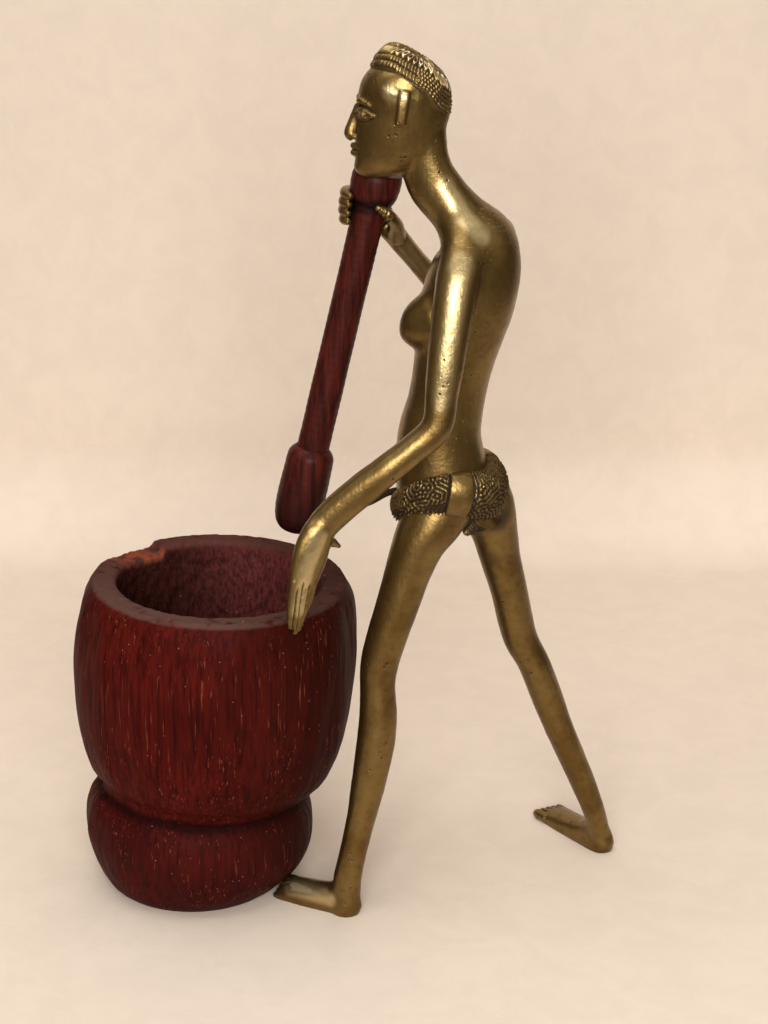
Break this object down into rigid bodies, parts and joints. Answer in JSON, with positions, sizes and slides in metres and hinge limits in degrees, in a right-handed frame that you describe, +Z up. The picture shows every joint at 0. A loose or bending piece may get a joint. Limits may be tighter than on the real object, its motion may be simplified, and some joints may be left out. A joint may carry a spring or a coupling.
{
  "type": "brass figurine with wooden mortar",
  "caption": "Slender cast brass woman in stride, pounding with a loose turned wooden pestle over a hollow carved wooden mortar that stands free in front of her.",
  "frame": {"origin": "middle of the bounding box, on the ground under the feet and the mortar", "axes": "+Z up; the woman faces -X, turned a little towards +Y, and her left side is towards -Y; the mortar stands at -X in front of her"},
  "size_m": [0.1925, 0.0977, 0.3005],
  "materials": {
    "brass": "old polished casting, brown in the hollows, worn bright on the ridges, finely pitted",
    "mortar_wood": "dark red stain on coarse upright grain, dull on the rim and rough in the bowl",
    "pestle_wood": "dark red stain, turned smooth, with a worn gloss"
  },
  "bodies": {
    "root": {"brass_figure": "brass", "mortar": "mortar_wood", "pestle": "pestle_wood"}
  },
  "joints": []
}
